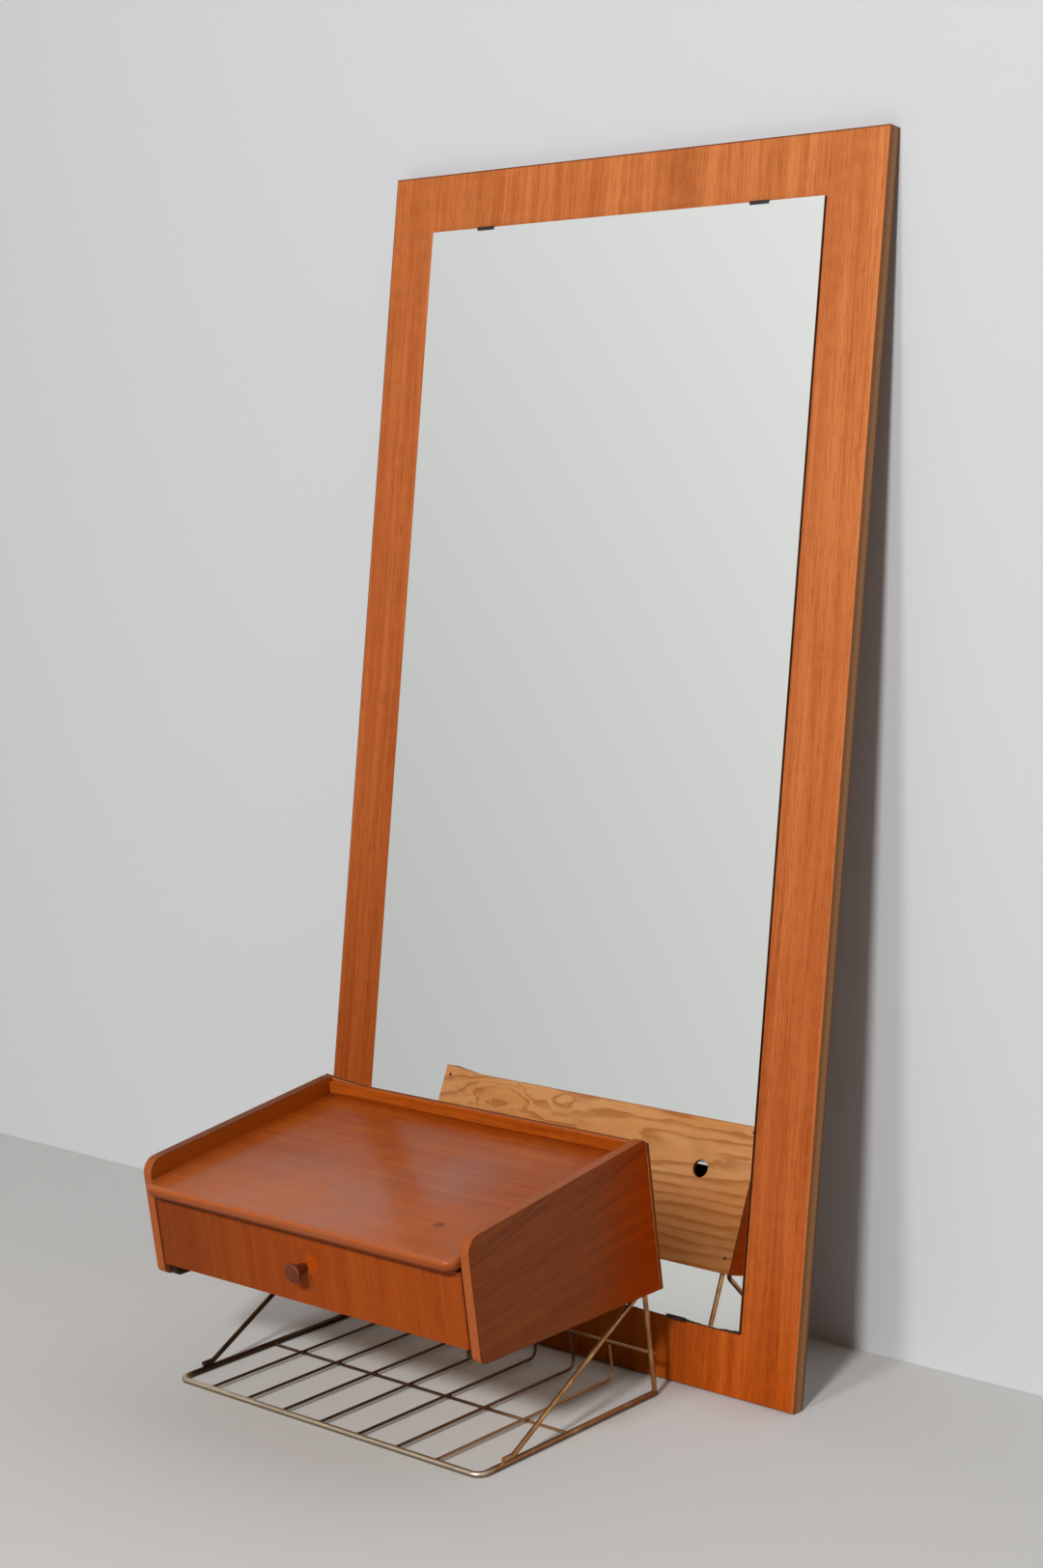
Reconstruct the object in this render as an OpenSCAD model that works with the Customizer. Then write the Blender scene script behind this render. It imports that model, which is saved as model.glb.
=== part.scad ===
// Wall mirror on a veneered board, with a separate shelf for a telephone.
// The mirror leans on its back bottom edge. The shelf stands on the wire rack
// that hangs under it when it is on the wall, so its box tips forward.
// Origin: middle of the mirror's back bottom edge, on the floor. +Y is the wall side.

/* [Mirror] */
// Width of the mirror board
board_w = 623; // [560:1:680]
// Height of the mirror board
board_h = 1200; // [1150:1:1300]
// Thickness of the mirror board
board_t = 16; // [15:1:22]
// Angle between the board and the upright
board_lean = 8.115; // [4:0.005:12]
// Width of the board left of the glass
margin_left = 61.3; // [50:0.1:75]
// Width of the board right of the glass
margin_right = 64.7; // [50:0.1:75]
// Height of the board above the glass
margin_top = 61.5; // [50:0.5:75]
// Height of the board below the glass
margin_bottom = 61.5; // [50:0.5:75]
// Thickness of the glass
glass_t = 4; // [3:0.5:5]

/* [Shelf box] */
// Width of the shelf over its side panels
box_w = 420; // [380:1:460]
// Depth of the side panels and the back together
box_d = 257; // [240:1:280]
// Height of the side panels at the back
box_h = 152.5; // [145:0.5:165]
// Thickness of a side panel
panel_t = 11.5; // [10:0.5:14]
// Slope of the bottom edge, which is also how far the box tips when it stands
box_tilt = 7.73; // [6:0.01:10]
// Height of the box's back bottom edge above the floor
box_z = 110; // [108:0.5:120]
// Thickness of the top board
top_t = 12; // [10:0.5:14]
// How far the top board lies below the top of the side panels
top_drop = 17.5; // [14:0.5:22]
// How far the top board reaches past the side panels
lip = 14; // [10:0.5:20]

/* [Drawer] */
// Gap between the drawer front and the top board
front_top_gap = 2.7; // [1:0.1:8]
// Thickness of the drawer front
front_t = 12; // [10:0.5:14]
// How much shorter than the box the drawer's sides are
side_short = 43; // [41:1:80]
// Length of the knob
knob_l = 18; // [14:0.5:30]

/* [Rack] */
// Diameter of the rim rod
rim_d = 6; // [5:0.5:7]
// Diameter of the hanger rods
hanger_d = 5; // [4:0.5:6]
// Diameter of the grid wires
wire_d = 3; // [2.5:0.5:4]
// Number of wires from front to back
wire_n = 7; // [5:1:9]
// How far the front rail stays behind the front of the box
rim_set_back = 8; // [0:1:20]
// Height of the wire behind the magazines
rear_wire_z = 42.5; // [35:0.5:60]

/* [Hidden] */
$fn = 64;

teak = "sienna";
teak_dark = "saddlebrown";
ply = "burlywood";
brass = "goldenrod";
steel = "dimgray";

// Places and small shares of space
weld = 0.1;
bend_swell = 0.02;
bend_bite = 0.2;
hole_gap = 0.05;
through = 1;
unit_x = -16.8;
unit_y = -57.5;
tip_gap = 1;

// Glass and mirror fittings
glass_w = board_w - margin_left - margin_right;
glass_h = board_h - margin_top - margin_bottom;
glass_x = (margin_left - margin_right) / 2;
glass_z = margin_bottom;
clip_w = 22;
clip_t = 1;
clip_lip = 2.5;
clip_depth = 10;
clip_inset = 74.5;
clip_x = glass_w / 2 - clip_inset;
hang_r = 8;
hang_depth = 9;
hang_inset = 85;
hang_drop = 95;
hang_x = board_w / 2 - hang_inset;
hang_z = board_h - hang_drop;

// Shelf box
ply_t = 4;
inner_x = box_w / 2 - panel_t;
front_r = 15;
toe_r = 9;
heel_r = 4;
top_z = box_h - top_drop;
lip_r = 12;
gallery_t = 6;
gallery_h = 13;
back_drop = 5.5;
back_h = box_h - back_drop;
back_peak = 5;
back_peak_w = 60;
hole_r = 9;
hole_inset = 61.2;
hole_drop = 56;
hole_x = box_w / 2 - hole_inset;
hole_z = box_h - hole_drop;
nail_inset = 8;
nail_low = 15.5;
nail_drop = 11;
nail_x = box_w / 2 - nail_inset;
nail_zs = [nail_low, box_h - nail_drop];
nail_head_r = 1.7;
nail_head_t = 0.5;
nail_r = 0.8;
nail_l = 19;

// Rack
hanger_x = inner_x - hanger_d / 2;
rim_inset = 1;
rim_x = hanger_x - rim_inset;
rim_reach = box_d - rim_set_back;
rim_corner_r = 10;
rim_end = 0.5;
wire_shift = -4;
wire_pitch = 2 * rim_x / (wire_n + 1);
wire_bend_r = 8;
cross_back = 127;
cross_y = -rim_reach + cross_back;
brace_slope = 28.15;
foot_l = 13;
foot_bend_r = 8;
loop_r = 6;
loop_bend_r = loop_r - 0.3;
loop_leg = 11.6;
loop_lift = 8;
loop_z = box_z + loop_lift;
leg_set = 2.7;
leg_foot = [leg_set, rim_d - weld];
washer_r = 8;
washer_t = 1.2;
hang_screw_r = 2.1;
hang_screw_head_r = 4.5;
hang_screw_head_t = 2.4;
hang_screw_bite = 9.5;

// Directions in the plane of a hanger: along the wall, and away from it
up = [-sin(box_tilt), cos(box_tilt)];
out = [cos(box_tilt), sin(box_tilt)];
loop_rise = (loop_z - leg_foot[1] + loop_r * out[1]) / up[1];
loop_c = leg_foot + loop_rise * up - loop_r * out;
rim_rear = leg_set + hanger_d / 2 + rim_end;

// Where a line at height z of the floor frame meets the plane d in front of the tipped box's back
function box_y(z, d) = -d / cos(box_tilt) - (z - box_z) * tan(box_tilt);
// Height in the tipped box of the point of such a plane at height z
function box_height(z, d) = (z - box_z + d * sin(box_tilt)) / cos(box_tilt);

// Runners, between the front of the box and the loops of the hangers
run_w = 10.5;
run_h = 11.7;
run_set_back = 4.5;
run_loop_gap = 3;
run_front = box_y(box_z, box_d) + run_set_back;
run_rear = loop_c[0] - loop_r - hanger_d / 2 - run_loop_gap;
run_toe_r = 5;
run_screw_rise = 5.5;
run_screw_front = 40;
run_screw_rear = 35;
run_screw_ys = [run_front + run_screw_front, run_rear - run_screw_rear];
run_screw_z = box_z + run_screw_rise;
screw_r = 1.6;
screw_head_r = 3.2;
screw_head_h = 2;
run_screw_l = 18;

// Drawer
slide_gap = 0.3;
front_gap = 1.6;
front_z = box_z + run_h + slide_gap;
front_h = box_z - box_d * sin(box_tilt) + (top_z - top_t) * cos(box_tilt) - front_top_gap - front_z;
front_x = inner_x - front_gap;
front_back = box_d - front_t;
side_t = 9;
side_drop = 6.6;
side_h = front_h - side_drop;
side_rear = box_y(front_z, front_back) + box_d - side_short;
rear_t = 9;
rear_drop = 1;
floor_t = 4;
floor_rise = 5;
floor_z = front_z + floor_rise;
groove = 4;
floor_front = box_y(floor_z, front_back) - groove;
knob_x = 1.5;
knob_rise = 1.8;
knob_z = box_height(front_z + front_h / 2 + knob_rise, box_d);
knob_face_r = 9.8;
knob_base_r = 3.8;
knob_waist_r = 5.2;
knob_waist = 0.45;
knob_edge = 1.5;
knob_screw_r = 2;
knob_screw_head_r = 3.5;
knob_screw_head_t = 1.8;
knob_screw_bite = 9;

// A unit vector, the direction of a plane vector, and the unit vector of a direction
function unit(v) = v / norm(v);
function heading(v) = atan2(v[1], v[0]);
function on_circle(angle) = [cos(angle), sin(angle)];

// Rounded outline: every point is [x, y, radius of its corner]
arc_steps = 10;
function xy(p) = [p[0], p[1]];
function corner_half(a, p, b) = acos(unit(a - p) * unit(b - p)) / 2;
function corner_centre(a, p, b, r) =
    p + unit(unit(a - p) + unit(b - p)) * r / sin(corner_half(a, p, b));
function corner_cut(a, p, b, r) = r / tan(corner_half(a, p, b));
function turn_sign(a, p, b) = (p[0] - a[0]) * (b[1] - p[1]) - (p[1] - a[1]) * (b[0] - p[0]) > 0 ? 1 : -1;
function corner_arc(a, p, b, r) =
    let (c = corner_centre(a, p, b, r),
         start = heading(p + unit(a - p) * corner_cut(a, p, b, r) - c),
         sweep = turn_sign(a, p, b) * (180 - 2 * corner_half(a, p, b)))
    [for (i = [0 : arc_steps]) c + r * on_circle(start + sweep * i / arc_steps)];
function rounded(pts) =
    let (n = len(pts))
    [for (i = [0 : n - 1])
        let (a = xy(pts[(i + n - 1) % n]), p = xy(pts[i]), b = xy(pts[(i + 1) % n]), r = pts[i][2])
        each (r > 0 ? corner_arc(a, p, b, r) : [p])];

// Frames of the leaning mirror, of the unit on the floor, and of its tipped box
module on_mirror() {
    rotate([-board_lean, 0, 0]) children();
}
module on_unit() {
    translate([unit_x, unit_y, 0]) children();
}
module on_box() {
    on_unit() translate([0, 0, box_z]) rotate([box_tilt, 0, 0]) children();
}

// Turns an outline in Y and Z into a plate that runs along X
module along_x(x0, length) {
    translate([x0, 0, 0]) rotate([90, 0, 90]) linear_extrude(length) children();
}

// Copy on the other side of the unit's middle
module other_side() {
    mirror([1, 0, 0]) children();
}

// Rod bent in the XY plane: every point is [x, y, bend radius], and the ends have no bend.
// A bend is a hair thicker than the rod, so that its ends close over the straights.
module bent_rod(pts, d) {
    n = len(pts);
    cut = [for (i = [0 : n - 1])
        pts[i][2] > 0 ? corner_cut(xy(pts[i - 1]), xy(pts[i]), xy(pts[i + 1]), pts[i][2]) : 0];
    for (i = [0 : n - 2]) {
        dir = unit(xy(pts[i + 1]) - xy(pts[i]));
        a = xy(pts[i]) + dir * (cut[i] - (cut[i] > 0 ? bend_bite : 0));
        b = xy(pts[i + 1]) - dir * (cut[i + 1] - (cut[i + 1] > 0 ? bend_bite : 0));
        translate([a[0], a[1], 0]) rotate([0, 0, heading(dir)]) rotate([0, 90, 0])
            cylinder(d = d, h = norm(b - a));
    }
    for (i = [1 : n - 2]) {
        a = xy(pts[i - 1]);
        p = xy(pts[i]);
        b = xy(pts[i + 1]);
        r = pts[i][2];
        c = corner_centre(a, p, b, r);
        sweep = 180 - 2 * corner_half(a, p, b);
        first = turn_sign(a, p, b) > 0 ? a : b;
        start = heading(p + unit(first - p) * cut[i] - c);
        translate([c[0], c[1], 0]) rotate([0, 0, start]) rotate_extrude(angle = sweep)
            translate([r, 0]) circle(d = d + bend_swell);
    }
}

// Board of the mirror, with two blind holes in its back for wall hooks and slots for the clips
module mirror_board() {
    color(teak) on_mirror() difference() {
        translate([-board_w / 2, -board_t, 0]) cube([board_w, board_t, board_h]);
        for (side = [-1, 1])
            translate([side * hang_x, through, hang_z]) rotate([90, 0, 0])
                cylinder(r = hang_r, h = hang_depth + through);
        for (side = [-1, 1], place = [0, 1])
            translate([glass_x + side * clip_x, -board_t, clip_edge(place)]) clip_slot();
    }
}
function clip_edge(place) = glass_z + (place == 0 ? -clip_t / 2 : glass_h + clip_t / 2);
module clip_slot() {
    translate([-clip_w / 2 - hole_gap, -through, -clip_t / 2 - hole_gap])
        cube([clip_w + 2 * hole_gap, clip_depth + through + hole_gap, clip_t + 2 * hole_gap]);
}

// Silvered glass that lies on the face of the board
module mirror_glass() {
    color("lightsteelblue") on_mirror()
        translate([glass_x - glass_w / 2, -board_t - glass_t, glass_z]) cube([glass_w, glass_t, glass_h]);
}

// Bent strip: one leaf in the board, one lip over the edge of the glass
module clip(way) {
    translate([-clip_w / 2, -glass_t - clip_t, -clip_t / 2])
        cube([clip_w, glass_t + clip_t + clip_depth, clip_t]);
    lip_z = way > 0 ? -clip_t / 2 : -clip_lip - clip_t / 2;
    translate([-clip_w / 2, -glass_t - clip_t, lip_z]) cube([clip_w, clip_t, clip_lip + clip_t]);
}
module clips_bottom() {
    color(steel) on_mirror() for (side = [-1, 1])
        translate([glass_x + side * clip_x, -board_t, clip_edge(0)]) clip(1);
}
module clips_top() {
    color(steel) on_mirror() for (side = [-1, 1])
        translate([glass_x + side * clip_x, -board_t, clip_edge(1)]) clip(-1);
}

// Side panel: square at the back, sloping bottom edge, rounded front
panel_outline = rounded([
    [-ply_t, ply_t * tan(box_tilt), 0],
    [-box_d, box_d * tan(box_tilt), toe_r],
    [-box_d, box_h, front_r],
    [-ply_t, box_h, heel_r]]);
module side_panel() {
    difference() {
        on_box() along_x(inner_x, panel_t) polygon(panel_outline);
        on_box() for (z = nail_zs) translate([nail_x, 0, z]) rotate([90, 0, 0])
            cylinder(r = nail_r + hole_gap, h = nail_l);
        on_unit() hanger_screw_hole();
        on_unit() for (y = run_screw_ys) runner_screw_hole(y);
    }
}
module hanger_screw_hole() {
    translate([inner_x - through, loop_c[0], loop_c[1]]) rotate([0, 90, 0])
        cylinder(r = hang_screw_r + hole_gap, h = hang_screw_bite + through);
}
module runner_screw_hole(y) {
    translate([inner_x - run_w - through, y, run_screw_z]) rotate([0, 90, 0])
        cylinder(r = screw_r + hole_gap, h = run_screw_l + through);
}
module side_panel_right() {
    color(teak_dark) side_panel();
}
module side_panel_left() {
    color(teak) translate([2 * unit_x, 0, 0]) other_side() side_panel();
}

// Top board between the panels, whose front reaches past them with round corners
module top_board() {
    color(teak) on_box() translate([0, 0, top_z - top_t]) linear_extrude(top_t) polygon(rounded([
        [inner_x, -ply_t, 0],
        [-inner_x, -ply_t, 0],
        [-inner_x, -box_d - lip, lip_r],
        [inner_x, -box_d - lip, lip_r]]));
}

// Strip that closes the top board at the back
module back_gallery() {
    color(teak) on_box() translate([-inner_x, -ply_t - gallery_t, top_z])
        cube([2 * inner_x, gallery_t, gallery_h]);
}

// Plywood back with two holes for wall hooks, left higher at one corner
module back_panel() {
    color(ply) on_box() difference() {
        rotate([90, 0, 0]) linear_extrude(ply_t) polygon([
            [-box_w / 2, ply_t * tan(box_tilt)],
            [box_w / 2, ply_t * tan(box_tilt)],
            [box_w / 2, back_h],
            [-box_w / 2 + back_peak_w, back_h],
            [-box_w / 2, back_h + back_peak]]);
        for (side = [-1, 1])
            translate([side * hole_x, through, hole_z]) rotate([90, 0, 0])
                cylinder(r = hole_r, h = ply_t + 2 * through);
        for (side = [-1, 1], z = nail_zs)
            translate([side * nail_x, through, z]) rotate([90, 0, 0])
                cylinder(r = nail_r + hole_gap, h = ply_t + 2 * through);
    }
}

// Nails through the corners of the back into the side panels
module back_nails() {
    color(steel) on_box() for (side = [-1, 1], z = nail_zs)
        translate([side * nail_x, 0, z]) rotate([90, 0, 0]) {
            cylinder(r = nail_r, h = nail_l - tip_gap);
            translate([0, 0, -nail_head_t]) cylinder(r = nail_head_r, h = nail_head_t);
        }
}

// Strip that the drawer slides on, level when the unit stands
module runner() {
    difference() {
        on_unit() along_x(inner_x - run_w, run_w) polygon(rounded([
            [run_rear, box_z, 0],
            [run_front, box_z, run_toe_r],
            [run_front, box_z + run_h, 0],
            [run_rear, box_z + run_h, 0]]));
        on_unit() for (y = run_screw_ys) runner_screw_hole(y);
        on_unit() for (y = run_screw_ys)
            translate([inner_x - run_w - through, y, run_screw_z]) rotate([0, 90, 0])
                cylinder(r = screw_head_r + hole_gap, h = screw_head_h + through);
    }
}
module runner_right() {
    color(teak_dark) runner();
}
module runner_left() {
    color(teak_dark) translate([2 * unit_x, 0, 0]) other_side() runner();
}
module runner_screws() {
    color(steel) on_unit() for (side = [0, 1], y = run_screw_ys) mirror([side, 0, 0])
        translate([inner_x - run_w, y, run_screw_z]) rotate([0, 90, 0]) {
            cylinder(r = screw_r, h = run_screw_l - tip_gap);
            cylinder(r = screw_head_r, h = screw_head_h);
        }
}

// Rim of the rack: one rod bent round the front, open at the back
module rack_rim() {
    color(brass) on_unit() translate([0, 0, rim_d / 2]) bent_rod([
        [-rim_x, rim_rear, 0],
        [-rim_x, -rim_reach, rim_corner_r],
        [rim_x, -rim_reach, rim_corner_r],
        [rim_x, rim_rear, 0]], rim_d);
}

// Wires from the front rail to the back, bent up along the wall
leg_at_rear_wire = leg_foot + up * (rear_wire_z - leg_foot[1]) / up[1];
rear_wire_c = leg_at_rear_wire + out * (hanger_d / 2 + wire_d / 2 - weld);
wire_z = wire_d * 1.5 - weld;
wire_front = -rim_reach + rim_d / 2 - weld;
wire_top = rear_wire_c - up * (wire_d - weld);
wire_knee = rear_wire_c - up * (rear_wire_c[1] - wire_z) / up[1];
module grid_wires() {
    color(brass) on_unit() for (i = [0 : wire_n - 1])
        translate([wire_shift + (i - (wire_n - 1) / 2) * wire_pitch, 0, 0]) rotate([90, 0, 90])
            bent_rod([
                [wire_front, wire_z, 0],
                [wire_knee[0], wire_knee[1], wire_bend_r],
                [wire_top[0], wire_top[1], 0]], wire_d);
}

// Wire that carries the grid between the side rails
module cross_wire() {
    color(brass) on_unit() translate([-rim_x + rim_d / 2 - weld, cross_y, wire_d / 2])
        rotate([0, 90, 0]) cylinder(d = wire_d, h = 2 * (rim_x - rim_d / 2 + weld));
}

// Wire along the back, welded behind both hangers
module rear_wire() {
    color(brass) on_unit() translate([-hanger_x - hanger_d / 2, rear_wire_c[0], rear_wire_c[1]])
        rotate([0, 90, 0]) cylinder(d = wire_d, h = 2 * hanger_x + hanger_d);
}

// Hanger: foot on the side rail, brace, open loop round its screw, leg along the wall
foot_z = rim_d + hanger_d / 2 - weld;
brace_dir = [cos(brace_slope), sin(brace_slope)];
loop_front = loop_c - loop_r * out;
loop_base = loop_front - up * loop_leg;
loop_top_front = loop_front + up * loop_r;
loop_top_rear = loop_c + (up + out) * loop_r;
brace_foot = loop_base - brace_dir * (loop_base[1] - foot_z) / brace_dir[1];
module hanger() {
    on_unit() translate([hanger_x, 0, 0]) rotate([90, 0, 90]) bent_rod([
        [brace_foot[0] - foot_l, foot_z, 0],
        [brace_foot[0], foot_z, foot_bend_r],
        [loop_base[0], loop_base[1], loop_r],
        [loop_top_front[0], loop_top_front[1], loop_bend_r],
        [loop_top_rear[0], loop_top_rear[1], loop_bend_r],
        [leg_foot[0], leg_foot[1], 0]], hanger_d);
}
module hanger_right() {
    color(brass) hanger();
}
module hanger_left() {
    color(brass) translate([2 * unit_x, 0, 0]) other_side() hanger();
}

// Washer and screw that hold the loop of each hanger to its panel
module hanger_washers() {
    color(steel) on_unit() for (side = [0, 1]) mirror([side, 0, 0])
        translate([inner_x - hanger_d - washer_t, loop_c[0], loop_c[1]]) rotate([0, 90, 0])
            difference() {
                cylinder(r = washer_r, h = washer_t);
                translate([0, 0, -through]) cylinder(r = hang_screw_r + hole_gap, h = washer_t + 2 * through);
            }
}
module hanger_screws() {
    color(steel) on_unit() for (side = [0, 1]) mirror([side, 0, 0])
        translate([inner_x - hanger_d - washer_t, loop_c[0], loop_c[1]]) rotate([0, 90, 0]) {
            cylinder(r = hang_screw_r, h = washer_t + hanger_d + hang_screw_bite - tip_gap);
            translate([0, 0, -hang_screw_head_t]) cylinder(r = hang_screw_head_r, h = hang_screw_head_t);
        }
}

// Drawer front, level at its top and bottom, parallel to the tipped box in between
module drawer_front() {
    color(teak) difference() {
        on_unit() along_x(-front_x, 2 * front_x) polygon([
            [box_y(front_z, box_d), front_z],
            [box_y(front_z + front_h, box_d), front_z + front_h],
            [box_y(front_z + front_h, front_back), front_z + front_h],
            [box_y(front_z, front_back), front_z]]);
        drawer_bottom_space();
        on_box() translate([knob_x, -box_d - through, knob_z]) rotate([-90, 0, 0])
            cylinder(r = knob_screw_r + hole_gap, h = front_t + 2 * through);
    }
}

// Sides of the drawer, cut to the slope of the front, with a groove for the bottom
module drawer_side() {
    difference() {
        on_unit() along_x(front_x - side_t, side_t) polygon([
            [box_y(front_z, front_back), front_z],
            [side_rear, front_z],
            [side_rear, front_z + side_h],
            [box_y(front_z + side_h, front_back), front_z + side_h]]);
        drawer_bottom_space();
    }
}
module drawer_side_right() {
    color(ply) drawer_side();
}
module drawer_side_left() {
    color(ply) translate([2 * unit_x, 0, 0]) other_side() drawer_side();
}

// Back of the drawer, which stands on its bottom, and the bottom in the grooves
module drawer_back() {
    color(ply) on_unit() translate([-front_x + side_t, side_rear - rear_t, floor_z + floor_t])
        cube([2 * (front_x - side_t), rear_t, side_h - floor_rise - floor_t - rear_drop]);
}
module bottom_plate(extra) {
    on_unit() translate([-front_x + side_t - groove, floor_front, floor_z])
        cube([2 * (front_x - side_t + groove), side_rear - floor_front + extra, floor_t]);
}
module drawer_bottom_space() {
    bottom_plate(through);
}
module drawer_bottom() {
    color(ply) bottom_plate(0);
}

// Turned knob, widest at its face, held by a screw from inside the drawer
module knob() {
    color(teak_dark) on_box() translate([knob_x, -box_d, knob_z]) rotate([90, 0, 0]) difference() {
        rotate_extrude() polygon([
            [0, 0],
            [knob_base_r, 0],
            [knob_waist_r, knob_l * knob_waist],
            [knob_face_r, knob_l - knob_edge],
            [knob_face_r - knob_edge / 2, knob_l],
            [0, knob_l]]);
        translate([0, 0, -through]) cylinder(r = knob_screw_r + hole_gap, h = knob_screw_bite + through);
    }
}
module knob_screw() {
    color(steel) on_box() translate([knob_x, -box_d + front_t, knob_z]) rotate([90, 0, 0]) {
        cylinder(r = knob_screw_r, h = front_t + knob_screw_bite - tip_gap);
        translate([0, 0, -knob_screw_head_t]) cylinder(r = knob_screw_head_r, h = knob_screw_head_t);
    }
}

mirror_board();
mirror_glass();
clips_top();
clips_bottom();
side_panel_left();
side_panel_right();
top_board();
back_gallery();
back_panel();
back_nails();
runner_left();
runner_right();
runner_screws();
rack_rim();
grid_wires();
cross_wire();
rear_wire();
hanger_left();
hanger_right();
hanger_washers();
hanger_screws();
drawer_front();
drawer_side_left();
drawer_side_right();
drawer_back();
drawer_bottom();
knob();
knob_screw();
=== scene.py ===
import math

import bmesh
import bpy
from mathutils import Matrix, Vector


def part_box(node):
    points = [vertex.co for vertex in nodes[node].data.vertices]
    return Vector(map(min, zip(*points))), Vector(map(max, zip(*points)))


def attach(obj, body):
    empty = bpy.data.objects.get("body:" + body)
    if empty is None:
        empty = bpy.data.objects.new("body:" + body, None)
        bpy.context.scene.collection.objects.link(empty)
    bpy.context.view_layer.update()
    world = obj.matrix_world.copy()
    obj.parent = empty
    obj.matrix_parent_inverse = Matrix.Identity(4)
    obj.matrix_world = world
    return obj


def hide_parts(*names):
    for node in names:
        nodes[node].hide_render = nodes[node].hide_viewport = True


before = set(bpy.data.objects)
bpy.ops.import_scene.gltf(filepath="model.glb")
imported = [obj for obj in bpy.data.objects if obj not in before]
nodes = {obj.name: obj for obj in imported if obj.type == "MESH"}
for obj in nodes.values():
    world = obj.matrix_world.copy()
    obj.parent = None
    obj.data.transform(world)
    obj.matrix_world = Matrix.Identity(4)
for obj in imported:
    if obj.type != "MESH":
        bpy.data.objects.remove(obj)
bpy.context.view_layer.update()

# ---- Mirror board ----
# One flat board faced with upright teak veneer, its sides banded with plain wood, with dark lines
# along its top and left edges. It stands on its back bottom edge and leans on the wall. Its colour
# grows redder and duller to the foot and the left as in the photograph, partly the teak's own
# tone and partly painted shade and sheen, and a pale line inside its side edges is a painted
# highlight.
LEAN = math.radians(8.115)
BOARD_HALF_WIDTH = 0.3115
BOARD_HEIGHT = 1.2
BOARD_BACK = -0.0005
BANDING_LINE = (0.0009, 0.0006)
ARRIS_LINE = (0.0026, 0.0014)
TOP_DARK_LINE = (0.0018, 0.001)
LEFT_DARK_LINE = (0.0014, 0.0008)
FRONT_LAYER_END = (-0.0125, -0.0085)
BACK_LAYER_START = (-0.004, -0.0015)
FOOT_HEIGHT = 0.2


class Port:
    """A socket of a bench. Sums on it add Math nodes."""

    def __init__(self, bench, socket):
        self.bench = bench
        self.socket = socket

    def math(self, operation, *values):
        sockets = dict(enumerate((self,) + values))
        return self.bench.node("ShaderNodeMath", {"operation": operation}, sockets)

    def __neg__(self):
        return self.math("MULTIPLY", -1.0)

    def __abs__(self):
        return self.math("ABSOLUTE")

    def __add__(self, other):
        return self.math("ADD", other)

    def __radd__(self, other):
        return self.math("ADD", other)

    def __sub__(self, other):
        return self.math("SUBTRACT", other)

    def __rsub__(self, other):
        return -self + other

    def __mul__(self, other):
        return self.math("MULTIPLY", other)

    def __rmul__(self, other):
        return self.math("MULTIPLY", other)

    def __truediv__(self, other):
        return self.math("DIVIDE", other)

    def __gt__(self, other):
        return self.math("GREATER_THAN", other)

    def between(self, low, high):
        """0 at low and under, 1 at high and over, smooth in between."""
        settings = {"interpolation_type": "SMOOTHSTEP"}
        sockets = {"Value": self, "From Min": low, "From Max": high}
        return self.bench.node("ShaderNodeMapRange", settings, sockets)

    def near(self, edge, line):
        """0 up to the first distance before the edge, 1 from the second one on."""
        return self.between(edge - line[0], edge - line[1])


class Bench:
    """A node tree that is built up node by node."""

    def __init__(self, tree):
        self.tree = tree

    def node(self, kind, settings=None, sockets=None, out=0):
        made = self.tree.nodes.new(kind)
        for name, value in (settings or {}).items():
            setattr(made, name, value)
        for name, value in (sockets or {}).items():
            self.feed(made.inputs[name], value)
        return Port(self, made.outputs[out])

    def feed(self, socket, value):
        if isinstance(value, Port):
            self.tree.links.new(value.socket, socket)
        else:
            socket.default_value = value

    def split(self, vector):
        """X, Y and Z of a vector."""
        parts = self.node("ShaderNodeSeparateXYZ", None, {0: vector}).socket.node.outputs
        return [Port(self, part) for part in parts]

    def mix(self, share, first, second, blend="MIX"):
        """Colour between first and second."""
        settings = {"data_type": "RGBA", "blend_type": blend}
        return self.node("ShaderNodeMix", settings, {0: share, 6: first, 7: second}, out=2)

    def tint(self, share, color, red, green, blue):
        """Colour with its red, green and blue multiplied, as far as share says."""
        return self.mix(share, color, (red, green, blue, 1.0), blend="MULTIPLY")


class Finish(Bench):
    """A material with one Principled shader at its end."""

    def __init__(self, name):
        self.material = bpy.data.materials.new(name)
        self.material.use_nodes = True
        super().__init__(self.material.node_tree)
        self.shader = self.tree.nodes["Principled BSDF"]

    def axes(self, turn=0.0, centre=(0.0, 0.0, 0.0)):
        """X, Y and Z of the piece, moved by centre and turned about X."""
        place = self.node("ShaderNodeTexCoord", out="Object")
        moved = self.node("ShaderNodeVectorMath", {"operation": "SUBTRACT"}, {0: place, 1: centre})
        sockets = {"Vector": moved, "Rotation": (turn, 0.0, 0.0)}
        return self.split(self.node("ShaderNodeMapping", {"vector_type": "POINT"}, sockets))

    def noise(self, axes, scales, detail=2.0, rough=0.5, seed=0.0):
        """Noise that is stretched by its own scale along each axis."""
        parts = {i: axis * scale + seed for i, (axis, scale) in enumerate(zip(axes, scales))}
        vector = self.node("ShaderNodeCombineXYZ", None, parts)
        sockets = {"Vector": vector, "Scale": 1.0, "Detail": detail, "Roughness": rough}
        return self.node("ShaderNodeTexNoise", None, sockets)

    def relief(self, height, distance):
        """Bump of the given height in metres."""
        sockets = {"Height": height, "Distance": distance, "Strength": 1.0}
        self.feed(self.shader.inputs["Normal"], self.node("ShaderNodeBump", None, sockets))

    def set(self, **sockets):
        for name, value in sockets.items():
            self.feed(self.shader.inputs[name.replace("_", " ")], value)

    def coat(self, *names):
        """Put this finish on CAD nodes."""
        for name in names:
            nodes[name].material_slots[0].material = self.material


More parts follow.
